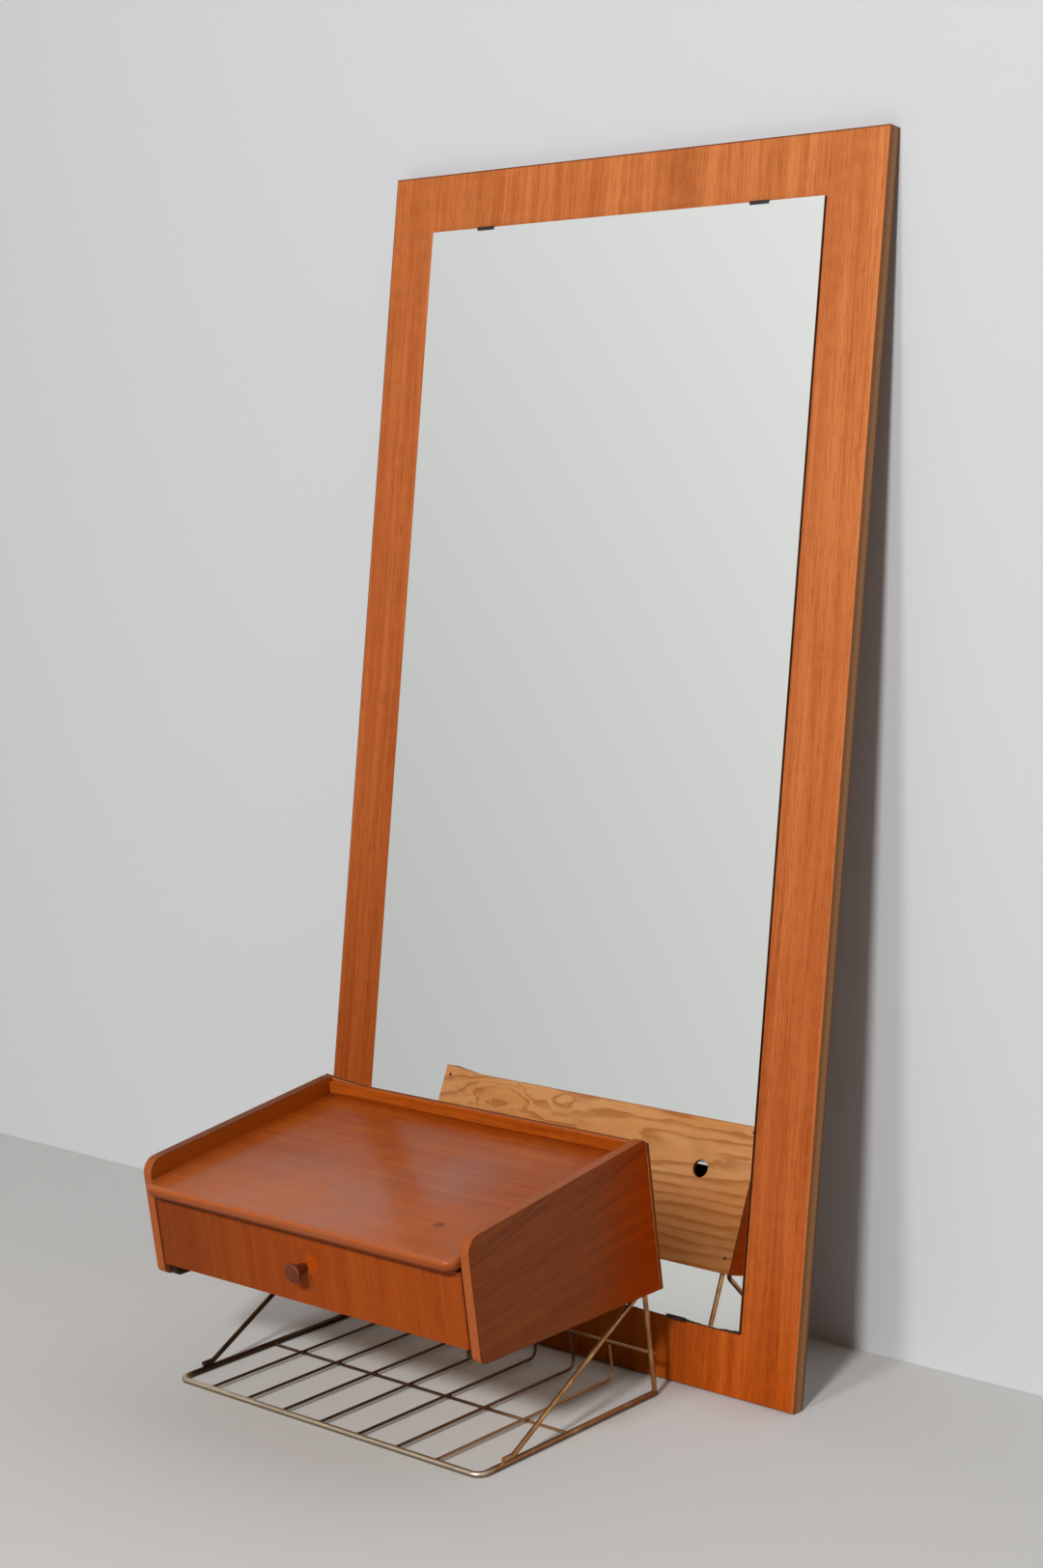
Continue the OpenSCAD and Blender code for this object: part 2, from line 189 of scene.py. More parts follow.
def rgb(red, green, blue):
    """Colour from 0 to 255 as Blender's linear one."""
    parts = [v / 255 for v in (red, green, blue)]
    return tuple(v / 12.92 if v < 0.04045 else ((v + 0.055) / 1.055) ** 2.4 for v in parts) + (1.0,)


def teak(name, axes_of, grain, colors, seed=0.0, figure=1.0, thread=0.5, gloss=0.42, shine=0.12,
         worn=0.0):
    """Oiled teak: fibres a millimetre or two wide, broad dark streaks, fine pores, a faint ripple.
    grain is the axis of the fibres and colors are dark, middle and light. figure says how strong
    the broad streaks are, thread how strong the fibres, and worn how pale the rubbed places."""
    finish = Finish(name)
    dark, middle, light = [rgb(*color) for color in colors]
    x, y, z = axes_of(finish)
    along = {"x": x, "y": y, "z": z}[grain]
    across, depth = [axis for axis, label in zip((x, y, z), "xyz") if label != grain]
    drift = finish.noise((across, depth, along), (7, 7, 2.2), 2.0, seed=seed) - 0.5
    across = across + drift * 0.02
    lines = (across, depth, along)
    fibres = finish.noise(lines, (520, 520, 9), 3.0, 0.62, seed=seed)
    streaks = finish.noise(lines, (95, 95, 2.4), 3.0, 0.6, seed=seed + 3.1)
    bands = finish.noise(lines, (17, 17, 0.9), 2.0, 0.5, seed=seed + 7.7)
    ripple = finish.noise(lines, (45, 45, 85), 2.0, 0.5, seed=seed + 5.0)
    pores = finish.noise(lines, (1500, 1500, 55), 1.0, 0.4, seed=seed + 1.3)
    pits = pores.between(0.6, 0.72)
    color = finish.mix(streaks.between(0.34, 0.66), middle, light)
    color = finish.mix(bands.between(0.5, 0.78) * figure, color, dark)
    color = finish.mix((1.0 - fibres.between(0.32, 0.56)) * thread, color, dark)
    color = finish.mix(ripple.between(0.35, 0.7) * 0.22, color, light)
    color = finish.mix(pits * thread * 0.9, color, tuple(v * 0.45 for v in dark[:3]) + (1.0,))
    if worn:
        rubbed = finish.noise((x, y, z), (9, 9, 9), 4.0, 0.6, seed=seed + 2.0)
        color = finish.mix(rubbed.between(0.5, 0.72) * worn, color, rgb(190, 124, 76))
    finish.relief(fibres * 0.5 - pits, 0.00012)
    finish.set(
        Base_Color=color,
        Roughness=gloss + (fibres - 0.5) * 0.18 + pits * 0.1,
        Specular_IOR_Level=shine,
    )
    return finish, color


def on_mirror(finish):
    return finish.axes(turn=LEAN)


board_finish, face = teak(
    "teak_veneer_board", on_mirror, "z", ((165, 86, 40), (200, 113, 61), (223, 135, 77)),
    figure=0.45, thread=0.42, gloss=0.5, shine=0.0,
)
board_x, board_y, board_z = on_mirror(board_finish)
# Redder and darker to the foot and the left: partly the teak's tone, partly painted sheen and
# shade.
rich = (1.0 - board_z * 0.87) * 0.62 + (BOARD_HALF_WIDTH - board_x) * 0.42
face = board_finish.tint(rich, face, 0.55, 0.26, 0.05)
# Painted shade: the lower left of the face is darkened evenly.
low_left = (1.0 - board_z.between(0.25, 0.75)) * (1.0 - board_x.between(-0.3, 0.1))
face = board_finish.tint(low_left * 0.5, face, 0.6, 0.6, 0.6)
# Painted shade: the foot is tinted browner, and more so behind the shelf, where its shadow falls.
foot = 1.0 - board_z.between(0.0, FOOT_HEIGHT)
face = board_finish.tint(foot * 0.75, face, 0.95, 0.68, 0.15)
shaded = (1.0 - board_z.between(0.05, 0.09)) * (1.0 - board_x.between(0.1, 0.19))
face = board_finish.tint(shaded * 0.65, face, 0.58, 1.2, 0.95)
# Painted highlight: a pale line just inside the side edges of the face.
arris = abs(board_x).near(BOARD_HALF_WIDTH, ARRIS_LINE)
face = board_finish.mix(arris * 0.25, face, rgb(222, 150, 98))
top_darkening = board_z.near(BOARD_HEIGHT, TOP_DARK_LINE) * 0.75
left_darkening = (-board_x).near(BOARD_HALF_WIDTH, LEFT_DARK_LINE) * 0.6
face = board_finish.mix(top_darkening.math("MAXIMUM", left_darkening), face, rgb(84, 50, 32))
core = board_finish.mix(board_y.between(*FRONT_LAYER_END), rgb(147, 94, 57), rgb(158, 115, 80))
core = board_finish.mix(board_y.between(*BACK_LAYER_START), core, rgb(103, 76, 54))
banding = abs(board_x).near(BOARD_HALF_WIDTH, BANDING_LINE)
sides = board_finish.mix(banding, face, core)
board_finish.set(
    Base_Color=board_finish.mix(board_y > BOARD_BACK, sides, rgb(138, 90, 50)),
    Coat_Weight=board_z.between(0.1, 0.9) * 0.2,
    Coat_Roughness=0.4,
)
board_finish.coat("mirror_board")

# ---- Mirror glass ----
# Silvered plate glass that lies on the board. Its ground edges are dark, the silver is eaten away
# along the bottom, and a little wiping shows in the gloss.
GLASS_FRONT = -0.020
GLASS_BOTTOM = 0.0615
EATEN_HEIGHT = 0.0026

glass_finish = Finish("silvered_glass")
_, glass_y, glass_z = on_mirror(glass_finish)
glass_edge = glass_y.between(GLASS_FRONT + 0.0002, GLASS_FRONT + 0.0004)
wiped = glass_finish.noise(glass_finish.axes(), (6, 6, 2.5), 4.0, 0.6)
eaten = glass_finish.noise(glass_finish.axes(), (34, 34, 12), 3.0, 0.6)
eaten = eaten.between(0.35, 0.8) * EATEN_HEIGHT
blind = 1.0 - (glass_z - GLASS_BOTTOM - eaten).between(0.0002, 0.0008)
dull = glass_edge.math("MAXIMUM", blind)
glass_finish.set(
    Base_Color=glass_finish.mix(dull, rgb(244, 247, 245), rgb(34, 26, 20)),
    Metallic=1.0 - dull,
    Roughness=wiped.between(0.55, 0.9) * 0.02 + dull * 0.3,
)
glass_finish.coat("mirror_glass")

# ---- Clips of the glass ----
# Folded steel strips with a dark coat, pushed into slots of the board. Their lips hold the glass,
# and the coat is rubbed thin along them.
clip_finish = Finish("blackened_steel")
clip_wear = clip_finish.noise(clip_finish.axes(), (160, 160, 160), 3.0, 0.6)
clip_finish.set(
    Base_Color=clip_finish.mix(clip_wear.between(0.5, 0.75), rgb(30, 23, 18), rgb(66, 53, 42)),
    Roughness=0.35 + clip_wear * 0.3,
    Metallic=0.35,
)
clip_finish.coat("clips_top", "clips_bottom")

# ---- Side panels of the shelf ----
# Solid teak, grain from front to back, darker than the mirror, with dark streaks along the top
# outside. The arrises are eased and painted darker as shade. The redder heel, and the narrow
# faces dark above, follow the photograph, where they may be light as much as wood. The narrow
# faces are painted pale and lit in front, and the inner faces a deeper orange as painted
# bounced light.
TILT = math.radians(7.73)
UNIT = (-0.0168, -0.0575, 0.110)
BOX_HALF_WIDTH = 0.210
PANEL_INSIDE = BOX_HALF_WIDTH - 0.0115
PANEL_SKIN = 0.0003
PANEL_EASING = 0.0009
MERGE_DISTANCE = 0.00001
FLAT = math.radians(0.5)
SHARP = math.radians(30)


def on_box(finish):
    return finish.axes(turn=-TILT, centre=UNIT)


def eased(node, body, width, finish, edge_finish, shortest=0.00045, steps=3, where=None,
          under=None):
    """A copy of a CAD node whose long arrises are rounded off, and which stands for the node.
    where chooses the arrises by their middles, and under is the finish of what faces down."""
    piece = nodes[node].copy()
    piece.data = nodes[node].data.copy()
    piece.name = node + "_eased"
    bpy.context.scene.collection.objects.link(piece)
    mesh = bmesh.new()
    mesh.from_mesh(piece.data)
    bmesh.ops.remove_doubles(mesh, verts=mesh.verts, dist=MERGE_DISTANCE)
    bmesh.ops.dissolve_limit(mesh, angle_limit=FLAT, verts=mesh.verts, edges=mesh.edges)
    weight = mesh.edges.layers.float.new("bevel_weight_edge")
    for edge in mesh.edges:
        sharp = edge.calc_face_angle(0.0) > SHARP
        chosen = where is None or where((edge.verts[0].co + edge.verts[1].co) / 2)
        rounded = sharp and chosen and edge.calc_length() > shortest
        edge[weight] = 1.0 if rounded else 0.0
        edge.smooth = rounded or not sharp
    for side in mesh.faces:
        side.smooth = True
        side.material_index = 2 if under and side.normal.z < -0.9 else 0
    mesh.to_mesh(piece.data)
    mesh.free()
    piece.data.materials.clear()
    for coat in (finish, edge_finish, under):
        if coat:
            piece.data.materials.append(coat.material)
    bevel = piece.modifiers.new("eased", "BEVEL")
    bevel.width = width
    bevel.segments = steps
    bevel.limit_method = "WEIGHT"
    bevel.material = 1
    even = piece.modifiers.new("even", "WEIGHTED_NORMAL")
    even.weight = 100
    even.keep_sharp = True
    depsgraph = bpy.context.evaluated_depsgraph_get()
    done = bpy.data.meshes.new_from_object(piece.evaluated_get(depsgraph))
    piece.modifiers.clear()
    piece.data = done
    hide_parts(node)
    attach(piece, body)


panel_finish, panel_face = teak(
    "teak_panel", on_box, "y", ((88, 42, 19), (128, 60, 19), (140, 68, 23)),
    seed=2.0, figure=0.45, thread=0.24, gloss=0.42, shine=0.0,
)
panel_x, panel_y, panel_z = on_box(panel_finish)
top_line = panel_z - panel_y * 0.18
streak = panel_finish.noise((panel_x, panel_y, top_line), (12, 2.2, 190), 3.0, 0.55, seed=21.0)
streak = streak.between(0.46, 0.72) * top_line.between(0.09, 0.17)
panel_face = panel_finish.mix(streak * 0.5, panel_face, rgb(78, 36, 18))
heel = (panel_y - panel_z * 0.3).between(-0.14, -0.03)
panel_face = panel_finish.tint(heel * 0.75, panel_face, 1.42, 0.74, 0.03)
# Painted bounced light: the inner faces are a deeper, purer orange.
inside = 1.0 - abs(panel_x).between(PANEL_INSIDE + 0.0001, PANEL_INSIDE + 0.0004)
panel_face = panel_finish.mix(inside * 0.85, panel_face, rgb(150, 68, 4))
# Painted light: the narrow faces are pale and lit in front; above they are dark.
narrow = abs(panel_x) > PANEL_INSIDE + PANEL_SKIN
narrow = narrow * (1.0 - (abs(panel_x) > BOX_HALF_WIDTH - PANEL_SKIN))
dark_top = panel_y.between(-0.262, -0.225) * (1.0 - panel_x.between(-0.1, 0.1) * 0.7)
narrow_color = panel_finish.mix(dark_top, rgb(176, 92, 44), rgb(122, 66, 38))
panel_finish.set(
    Base_Color=panel_finish.mix(narrow * 0.85, panel_face, narrow_color),
    Coat_Weight=(1.0 - heel) * 0.32,
    Coat_Roughness=0.35,
)
# Painted shade: the eased arrises are darker than the faces.
panel_edge, _ = teak(
    "teak_panel_arris", on_box, "y", ((70, 30, 10), (104, 48, 18), (124, 60, 26)),
    seed=2.0, figure=0.3, thread=0.3, gloss=0.36, shine=0.06,
)
for name in ("side_panel_left", "side_panel_right"):
    eased(name, "shelf", PANEL_EASING, panel_finish, panel_edge)

# ---- Top board and the strip behind it ----
# Teak with its grain from side to side, one small dark mark and a round nose in front of the
# panels, raw below. The strip behind is taken as glued on. Where the wood is paler or glossier
# follows the photograph, and some of that is its light. The corner by the left panel carries
# painted shade, and the nose is painted paler on top and darker below as light and shade.
LIP_FRONT = -0.2925
TOP_HEIGHT = 0.135
TOP_THICKNESS = 0.012
NOSE_EASING = 0.0045
CORNER_SHADE_WIDTH = 0.022
MARK_PLACE = (0.1348, -0.2128)
MARK_RADII = (0.006, 0.0052)
STRIP_EASING = 0.0008


def from_middle(across, along, middle, radii):
    """Squared distance from the middle of a round spot, 1 at its rim."""
    across = (across - middle[0]) / radii[0]
    along = (along - middle[1]) / radii[1]
    return across * across + along * along


top_finish, top_face = teak(
    "teak_top", on_box, "x", ((121, 49, 10), (155, 67, 14), (171, 81, 20)),
    seed=5.0, figure=0.35, thread=0.3, gloss=0.42, shine=0.03, worn=0.15,
)
top_x, top_y, top_z = on_box(top_finish)
# Paler and more orange towards the front.
front_paling = (-top_y).between(0.13, 0.25) * 0.85
top_face = top_finish.mix(front_paling * 0.5, top_face, rgb(206, 112, 52))
# Painted shade: darker in the corner along the left panel.
corner_shade = 1.0 - (top_x + PANEL_INSIDE).between(0.0, CORNER_SHADE_WIDTH)
top_face = top_finish.mix(corner_shade * 0.6, top_face, rgb(112, 42, 4))
below_top = 1.0 - top_z.between(TOP_HEIGHT - 0.0015, TOP_HEIGHT - 0.0003)
top_face = top_finish.mix(below_top * 0.5, top_face, rgb(128, 58, 22))
blotches = top_finish.noise(on_box(top_finish), (13, 13, 13), 3.0, 0.6, seed=31.0)
blotches = blotches.between(0.3, 0.7)
top_face = top_finish.mix(blotches * 0.3, top_face, rgb(122, 54, 14))
mark = 1.0 - from_middle(top_x, top_y, MARK_PLACE, MARK_RADII).between(0.3, 1.6)
glossy = (1.0 - top_x.between(0.05, 0.16) * 0.72) * (1.0 - (-top_x).between(0.06, 0.16) * 0.45)
glossy = glossy * (-top_y).between(-0.03, 0.2) * (0.55 + blotches * 0.45)
top_finish.set(
    Base_Color=top_finish.mix(mark * 0.55, top_face, rgb(62, 26, 10)),
    Coat_Weight=0.06 + glossy * 0.84,
    Coat_Roughness=0.2,
)
nose_finish, nose_face = teak(
    "teak_nose", on_box, "x", ((122, 50, 12), (160, 74, 18), (178, 90, 28)),
    seed=5.0, figure=0.3, thread=0.3, gloss=0.36, shine=0.1,
)
nose_z = on_box(nose_finish)[2]
# Painted light and shade: the nose is paler on top and darker towards its underside.
nose_rise = nose_z.between(TOP_HEIGHT - TOP_THICKNESS + 0.002, TOP_HEIGHT - 0.001)
nose_shade = nose_finish.mix(nose_rise, rgb(104, 46, 16), rgb(178, 92, 46))
nose_finish.set(
    Base_Color=nose_finish.mix(0.75, nose_face, nose_shade),
    Coat_Weight=nose_z.between(TOP_HEIGHT - 0.004, TOP_HEIGHT) * 0.5,
    Coat_Roughness=0.2,
)
raw_finish, _ = teak(
    "raw_teak", on_box, "x", ((110, 66, 36), (140, 88, 50), (160, 104, 62)),
    seed=23.0, figure=0.3, gloss=0.9, shine=0.0,
)
eased("top_board", "shelf", NOSE_EASING, top_finish, nose_finish, steps=6,
      where=lambda middle: middle.y < LIP_FRONT, under=raw_finish)
strip_finish, strip_face = teak(
    "teak_strip", on_box, "x", ((128, 50, 8), (170, 76, 14), (188, 92, 24)),
    seed=6.0, figure=0.3, gloss=0.4, shine=0.03,
)
joint = 1.0 - on_box(strip_finish)[2].between(TOP_HEIGHT + 0.0005, TOP_HEIGHT + 0.003)
strip_finish.set(Base_Color=strip_finish.mix(joint * 0.6, strip_face, rgb(88, 30, 4)))
eased("back_gallery", "shelf", STRIP_EASING, strip_finish, strip_finish)

# ---- Plywood back and its nails ----
# Thin pine plywood with wild grain and two eyes, nailed behind the panels. It is never seen on
# the wall, so it is bare and a little dirty. The brown of its sawn edges and of its front above
# the top board is a guess, and its darker foot is painted shade.
PLY_THICKNESS = 0.004
PLY_SKIN = 0.0001
ABOVE_TOP = 0.14
EYES = (
    # middle, radii, rings that it adds
    ((-0.132, 0.129), (0.056, 0.019), -1.7),
    ((-0.041, 0.1335), (0.022, 0.012), 0.9),
)

ply_finish = Finish("pine_plywood")
ply_axes = px, py, pz = on_box(ply_finish)
sway = ply_finish.noise(ply_axes, (7, 1, 30), 3.0, 0.55, seed=4.0) - 0.5
wide = ply_finish.noise(ply_axes, (2.4, 1, 7), 1.0, 0.4, seed=2.0)
calm = 1.0 - pz.between(0.08, 0.125)
phase = pz * 52 + pz.math("MINIMUM", 0.1) * 44 + sway * (3.6 - calm * 1.6) + wide * 3.0
crooked = ply_finish.noise(ply_axes, (34, 1, 60), 3.0, 0.6, seed=40.0) - 0.5
for middle, radii, rings in EYES:
    aside = px + crooked * (0.9 * radii[0])
    above = pz + crooked * (1.2 * radii[1])
    eye = 1.0 - from_middle(aside, above, middle, radii).between(0.0, 1.0)
    phase = phase + eye * rings
ring = phase.math("FRACT")
fine = ply_finish.noise(ply_axes, (14, 60, 620), 3.0, 0.6)
strength = ply_finish.noise(ply_axes, (12, 9, 50), 2.0, 0.5, seed=15.0)
late = ring.between(0.35, 0.86) * (1.0 - ring.between(0.88, 0.99)) * strength.between(0.2, 0.55)
soft_tone = ply_finish.noise(ply_axes, (6, 6, 24), 3.0, 0.6, seed=12.0)
ply_face = ply_finish.mix(soft_tone.between(0.3, 0.7), rgb(232, 157, 96), rgb(244, 180, 122))
ply_face = ply_finish.mix(late * 0.62, ply_face, rgb(176, 100, 44))
ply_face = ply_finish.mix(fine.between(0.35, 0.7) * 0.12, ply_face, rgb(166, 98, 46))
stain = ply_finish.noise(ply_axes, (11, 11, 11), 4.0, 0.6, seed=9.0)
ply_face = ply_finish.mix(stain.between(0.5, 0.8) * 0.3, ply_face, rgb(140, 82, 34))
# Painted shade: darker towards the foot.
low = 1.0 - pz.between(0.02, 0.09)
ply_face = ply_finish.mix(low * 0.5, ply_face, rgb(150, 78, 10))
behind_front = py > PLY_SKIN - PLY_THICKNESS
sawn = behind_front * (1.0 - (py > -PLY_SKIN))
sawn_color = ply_finish.mix(pz > ABOVE_TOP, rgb(122, 60, 24), rgb(104, 60, 36))
ply_face = ply_finish.mix(sawn, ply_face, sawn_color)
front_above = (pz > ABOVE_TOP) * (1.0 - behind_front)
ply_face = ply_finish.mix(front_above * 0.9, ply_face, rgb(182, 98, 50))
ply_finish.relief(late * 0.6 + fine * 0.4, 0.00015)
ply_finish.set(Base_Color=ply_face, Roughness=0.72 - late * 0.12, Specular_IOR_Level=0.0)
ply_finish.coat("back_panel")

steel_finish = Finish("dull_steel")
steel_spots = steel_finish.noise(steel_finish.axes(), (420, 420, 420), 4.0, 0.6)
steel_finish.set(
    Base_Color=steel_finish.mix(steel_spots.between(0.45, 0.7), rgb(108, 100, 90), rgb(60, 48, 38)),
    Roughness=0.32 + steel_spots * 0.35,
    Metallic=0.9,
)
steel_finish.coat("back_nails")

# ---- Runners and their screws ----
# Two strips of dark stained wood, screwed to the panels. The drawer slides on them.


def level_on_box(finish):
    return finish.axes(centre=UNIT)


runner_finish, _ = teak(
    "stained_runner", level_on_box, "y", ((22, 14, 10), (38, 24, 16), (56, 36, 24)),
    seed=8.0, figure=0.4, gloss=0.5,
)
runner_finish.coat("runner_left", "runner_right")
steel_finish.coat("runner_screws")

# ---- Rack of bent wire ----
# A rim of steel rod, with seven bent wires on a cross wire and one more along the back, all
# welded and brass plated. Dark at the left, below and behind, and gold at the right, follow the
# photograph: they are painted shade, painted reflection and painted light.
WIRE = 0.003
ROD = 0.006
RIM_X = 0.195
RIM_FRONT = -0.249
RIM_BACK = 0.0057
RIM_BEND = 0.01
WIRES = 7
WIRE_PITCH = 0.04875
WIRE_SHIFT = -0.004
WIRE_BEND = 0.008
CROSS_Y = -0.122
REAR_WIRE = (0.0016, 0.04302)
BEND_STEPS = 12
ROD_SIDES = 20


def plated(name, brown, gold, share, pale_front=0.0, shaded_left=0.0, shaded_brace=0.0,
           lit_right=False):
    """Brass plate, bare where its patina, the share and the paler front say. shaded_left paints
    shade on the front left corner, shaded_brace paints shade on the side of a brace that faces the
    wall, and lit_right paints the wires lit gold at the right and shaded brown towards the left."""
    finish = Finish(name)
    x, y, z = finish.axes()
    patina = finish.noise((x, y, z), (38, 38, 38), 5.0, 0.65)
    speck = finish.noise((x, y, z), (900, 900, 900), 2.0, 0.6)
    bare = (patina + (-y).between(0.285, 0.30) * pale_front + share).between(0.5, 0.9)
    color = finish.mix(bare, brown, gold)
    _, faces_wall, faces_up = finish.split(finish.node("ShaderNodeNewGeometry", out="Normal"))
    if pale_front:
        # Paler along the front rail.
        color = finish.mix((-y).between(0.295, 0.302) * 0.6, color, rgb(190, 180, 164))
        # Painted reflection and shade: the faces that turn down are darker.
        under = faces_up.between(-0.6, -0.35) * (1.0 - faces_up.between(-0.05, 0.25))
        color = finish.mix(under * 0.6, color, rgb(70, 52, 38))
    color = finish.mix(speck.between(0.6, 0.75) * 0.5, color, rgb(48, 34, 20))
    # Painted shade: the front left corner is darkened.
    left = (1.0 - x.between(-0.209, -0.205)) * y.between(-0.303, -0.29)
    color = finish.mix(left * shaded_left, color, rgb(30, 22, 16))
    # Painted shade: the side of the brace that faces the wall is darker.
    if shaded_brace:
        brace = faces_wall.between(0.0, 0.5) * (1.0 - y.between(-0.080, -0.074))
        color = finish.mix(brace * shaded_brace, color, rgb(40, 30, 22))
    # Painted light and shade: lit gold at the right, shaded brown towards the left.
    if lit_right:
        color = finish.mix((1.0 - x.between(0.02, 0.12)) * 0.55, color, rgb(52, 38, 30))
        color = finish.mix(x.between(0.09, 0.12) * 0.6, color, rgb(190, 148, 104))
    finish.relief(speck, 0.00004)
    finish.set(
        Base_Color=color,
        Roughness=0.32 - bare * 0.06 + speck * 0.08,
        Metallic=0.9 + bare * 0.1,
    )
    return finish


class Jig(Bench):
    """Geometry Nodes that bend or repeat a shape. Its sizes are named inputs."""

    def __init__(self, name, **sizes):
        super().__init__(bpy.data.node_groups.new(name, "GeometryNodeTree"))
        kinds = {int: "NodeSocketInt", float: "NodeSocketFloat", Vector: "NodeSocketVector"}
        sides = self.tree.interface
        sides.new_socket("Shape", in_out="INPUT", socket_type="NodeSocketGeometry")
        sides.new_socket("Shape", in_out="OUTPUT", socket_type="NodeSocketGeometry")
        self.sizes = {}
        for label, value in sizes.items():
            made = sides.new_socket(label, in_out="INPUT", socket_type=kinds[type(value)])
            self.sizes[made.identifier] = value
        self.start = self.tree.nodes.new("NodeGroupInput")

    def size(self, label):
        return Port(self, self.start.outputs[label])

    def make(self, name, data, shape, finish):
        """The shape that the jig makes of data, as a plain mesh of its own."""
        real = self.node("GeometryNodeRealizeInstances", None, {"Geometry": shape})
        sockets = {"Geometry": real, "Material": finish.material}
        coated = self.node("GeometryNodeSetMaterial", None, sockets)
        end = self.tree.nodes.new("NodeGroupOutput")
        self.feed(end.inputs["Shape"], coated)
        piece = bpy.data.objects.new(name, data)
        bpy.context.scene.collection.objects.link(piece)
        jig = piece.modifiers.new("jig", "NODES")
        jig.node_group = self.tree
        for identifier, value in self.sizes.items():
            jig[identifier] = value
        depsgraph = bpy.context.evaluated_depsgraph_get()
        done = bpy.data.meshes.new_from_object(piece.evaluated_get(depsgraph))
        piece.modifiers.clear()
        piece.data = done
        done.shade_smooth()
        done.set_sharp_from_angle(angle=math.radians(40))
        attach(piece, "shelf")
        return piece


def in_rack(points):
    """Places in the rack, whose middle is that of the box but whose foot is the floor."""
    return [(UNIT[0] + x, UNIT[1] + y, z) for x, y, z in points]


def bent_rod(node, points, bends, thickness, finish, count=1, pitch=0.0):
    """A round rod along points, bent to the given inner lines, that stands for a CAD node."""
    data = bpy.data.meshes.new(node + "_line")
    data.from_pydata(in_rack(points), [(i, i + 1) for i in range(len(points) - 1)], [])
    data.attributes.new("bend", "FLOAT", "POINT").data.foreach_set("value", bends)
    jig = Jig(node + "_jig", thickness=thickness, count=count, pitch=pitch)
    line = jig.node("GeometryNodeMeshToCurve", None, {"Mesh": jig.size("Shape")})
    bend = jig.node("GeometryNodeInputNamedAttribute", {"data_type": "FLOAT"}, {"Name": "bend"})
    sockets = {"Curve": line, "Count": BEND_STEPS, "Radius": bend}
    curved = jig.node("GeometryNodeFilletCurve", {"mode": "POLY"}, sockets)
    sockets = {"Resolution": ROD_SIDES, "Radius": jig.size("thickness") * 0.5}
    ring = jig.node("GeometryNodeCurvePrimitiveCircle", None, sockets)
    sockets = {"Curve": curved, "Profile Curve": ring, "Fill Caps": True}
    rod = jig.node("GeometryNodeCurveToMesh", None, sockets)
    step = jig.node("ShaderNodeCombineXYZ", None, {0: jig.size("pitch")})
    sockets = {"Count": jig.size("count"), "Offset": step}
    row = jig.node("GeometryNodeMeshLine", None, sockets)
    rods = jig.node("GeometryNodeInstanceOnPoints", None, {"Points": row, "Instance": rod})
    piece = jig.make(node + "_bent", data, rods, finish)
    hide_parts(node)


rim_finish = plated(
    "aged_brass_rim", rgb(146, 102, 66), rgb(198, 176, 138), 0.05, pale_front=0.2, shaded_left=0.8,
)
wire_finish = plated(
    "aged_brass_wire", rgb(118, 84, 58), rgb(172, 132, 90), 0.02, lit_right=True,
)
hanger_finish = plated(
    "aged_brass_hanger", rgb(150, 106, 68), rgb(208, 166, 112), 0.1, shaded_left=0.85,
    shaded_brace=0.85,
)

rim_line = [
    (-RIM_X, RIM_BACK, ROD / 2), (-RIM_X, RIM_FRONT, ROD / 2),
    (RIM_X, RIM_FRONT, ROD / 2), (RIM_X, RIM_BACK, ROD / 2),
]
bent_rod("rack_rim", rim_line, [0.0, RIM_BEND, RIM_BEND, 0.0], ROD, rim_finish)
first_x = WIRE_SHIFT - 3 * WIRE_PITCH
wire_line = [(first_x, -0.2461, 0.0044), (first_x, 0.00684, 0.0044), (first_x, 0.00199, 0.04015)]
bent_rod("grid_wires", wire_line, [0.0, WIRE_BEND, 0.0], WIRE, wire_finish, WIRES, WIRE_PITCH)
cross_line = [(-0.1921, CROSS_Y, WIRE / 2), (0.1921, CROSS_Y, WIRE / 2)]
bent_rod("cross_wire", cross_line, [0.0, 0.0], WIRE, wire_finish)
rear_line = [(-0.1985, *REAR_WIRE), (0.1985, *REAR_WIRE)]
bent_rod("rear_wire", rear_line, [0.0, 0.0], WIRE, wire_finish)

# ---- Welds of the rack ----
# Small dark beads, flat and a little uneven, where the wires meet the rim, the cross wire and
# the wire along the back, and where the cross wire meets the rim.
BEAD = Vector((0.0023, 0.0021, 0.0014))

weld_finish = plated("weld_bead", rgb(70, 50, 34), rgb(120, 90, 60), 0.0)
weld_points = []
for i in range(WIRES):
    weld_x = first_x + i * WIRE_PITCH
    weld_points += [(weld_x, -0.2462, 0.0046), (weld_x, CROSS_Y, 0.003), (weld_x, 0.0024, 0.0412)]
weld_points += [(side * 0.1918, CROSS_Y, 0.0026) for side in (-1, 1)]
weld_data = bpy.data.meshes.new("weld_places")
weld_data.from_pydata(in_rack(weld_points), [], [])
weld_jig = Jig("weld_jig", bead=BEAD)
bead = weld_jig.node("GeometryNodeMeshUVSphere", None, {"Segments": 14, "Rings": 8, "Radius": 1.0})
uneven = {"Min": (0.85, 0.85, 0.85), "Max": (1.15, 1.15, 1.1), "Seed": 4}
bead_size = weld_jig.node("FunctionNodeRandomValue", {"data_type": "FLOAT_VECTOR"}, uneven)
sockets = {0: bead_size, 1: weld_jig.size("bead")}
bead_size = weld_jig.node("ShaderNodeVectorMath", {"operation": "MULTIPLY"}, sockets)
sockets = {"Points": weld_jig.size("Shape"), "Instance": bead, "Scale": bead_size}
beads = weld_jig.node("GeometryNodeInstanceOnPoints", None, sockets)
weld_jig.make("rack_welds", weld_data, beads, weld_finish)

